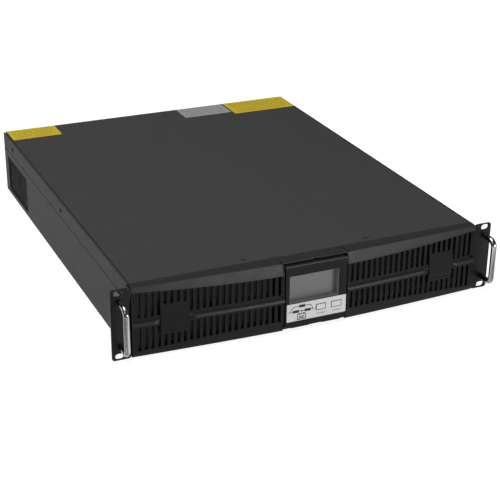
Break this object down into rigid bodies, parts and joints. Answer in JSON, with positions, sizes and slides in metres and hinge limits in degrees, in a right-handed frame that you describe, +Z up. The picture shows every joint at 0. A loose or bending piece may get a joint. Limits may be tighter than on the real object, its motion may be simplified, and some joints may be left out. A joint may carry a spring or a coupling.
{
  "type": "uninterruptible power supply",
  "caption": "Rack or tower uninterruptible power supply, 2U, with bowed grille bezels, square display module, chrome handles and rack ears.",
  "frame": {"origin": "on the underside of the chassis, under the middle of the whole object with its handles", "axes": "-Y out of the front, where the display is; +X to the right of someone facing the front; +Z up"},
  "size_m": [0.4826, 0.575, 0.087],
  "materials": {
    "steel_sheet_painted": "satin",
    "bezel": "matte",
    "badge": "satin",
    "ear": "satin",
    "chrome": "polished",
    "display_case": "satin",
    "display_glass": "gloss",
    "keypad": "satin",
    "key_cap": "satin",
    "screw": "satin",
    "yellow_sticker": "satin",
    "silver_sticker": "satin",
    "black_plastic": "matte",
    "zinc_steel": "satin",
    "battery": "matte",
    "circuit_board": "satin",
    "heat_sink": "satin",
    "transformer": "satin",
    "capacitor": "satin"
  },
  "bodies": {
    "cabinet": {"chassis": "steel_sheet_painted", "top_cover": "steel_sheet_painted", "front_panel": "steel_sheet_painted", "battery_door": "steel_sheet_painted", "rear_panel": "steel_sheet_painted", "side_vent_screen": "steel_sheet_painted", "display_surround": "bezel", "ear_left": "ear", "ear_right": "ear", "handle_left": "chrome", "handle_right": "chrome", "cover_screw_left_middle": "screw", "cover_screw_left_rear": "screw", "cover_screw_right_middle": "screw", "cover_screw_right_rear": "screw", "handle_screw_left_lower": "screw", "handle_screw_left_upper": "screw", "handle_screw_right_lower": "screw", "handle_screw_right_upper": "screw", "yellow_sticker_left": "yellow_sticker", "yellow_sticker_right": "yellow_sticker", "silver_sticker": "silver_sticker", "fan_frame_outer": "black_plastic", "fan_frame_inner": "black_plastic", "mains_inlet": "black_plastic", "outlet_bank_lower": "black_plastic", "outlet_bank_upper": "black_plastic", "breaker_body": "black_plastic", "battery_socket": "black_plastic", "fan_guard_outer": "zinc_steel", "fan_guard_inner": "zinc_steel", "card_slot_cover": "zinc_steel", "serial_port": "zinc_steel", "usb_port": "zinc_steel", "battery_tray": "zinc_steel", "battery_1": "battery", "battery_2": "battery", "battery_3": "battery", "battery_4": "battery", "power_board": "circuit_board", "heat_sink_left": "heat_sink", "heat_sink_right": "heat_sink", "transformer": "transformer", "capacitor_1": "capacitor", "capacitor_2": "capacitor"},
    "left_cover": {"bezel_left": "bezel", "badge_left": "badge"},
    "right_cover": {"bezel_right": "bezel", "badge_right": "badge"},
    "display_module": {"display_housing": "display_case", "display_window": "display_glass", "lcd_panel": "black_plastic", "keypad_film": "keypad", "display_board": "circuit_board", "display_back": "black_plastic"},
    "left_key": {"button_left": "key_cap"},
    "right_key": {"button_right": "key_cap"},
    "outer_fan_wheel": {"fan_rotor_outer": "black_plastic"},
    "inner_fan_wheel": {"fan_rotor_inner": "black_plastic"},
    "breaker_key": {"breaker_button": "key_cap"}
  },
  "joints": [
    {"name": "bezel_left_pull", "type": "slide", "parent": "cabinet", "child": "left_cover", "axis": [0, -1, 0], "range_m": [0, 0.03]},
    {"name": "bezel_right_pull", "type": "slide", "parent": "cabinet", "child": "right_cover", "axis": [0, -1, 0], "range_m": [0, 0.03]},
    {"name": "display_pull", "type": "slide", "parent": "cabinet", "child": "display_module", "axis": [0, -1, 0], "range_m": [0, 0.03]},
    {"name": "button_left_press", "type": "slide", "parent": "display_module", "child": "left_key", "axis": [0, 1, 0], "range_m": [0, 0.0008], "stiffness_N_per_m": 400, "springref_m": -0.001},
    {"name": "button_right_press", "type": "slide", "parent": "display_module", "child": "right_key", "axis": [0, 1, 0], "range_m": [0, 0.0008], "stiffness_N_per_m": 400, "springref_m": -0.001},
    {"name": "fan_outer_spin", "type": "hinge", "parent": "cabinet", "child": "outer_fan_wheel", "pos_m": [0.17, 0.2702, 0.04325], "axis": [0, 1, 0], "continuous": true},
    {"name": "fan_inner_spin", "type": "hinge", "parent": "cabinet", "child": "inner_fan_wheel", "pos_m": [0.084, 0.2702, 0.04325], "axis": [0, 1, 0], "continuous": true},
    {"name": "breaker_reset", "type": "slide", "parent": "cabinet", "child": "breaker_key", "axis": [0, 1, 0], "range_m": [0, 0.003]}
  ]
}
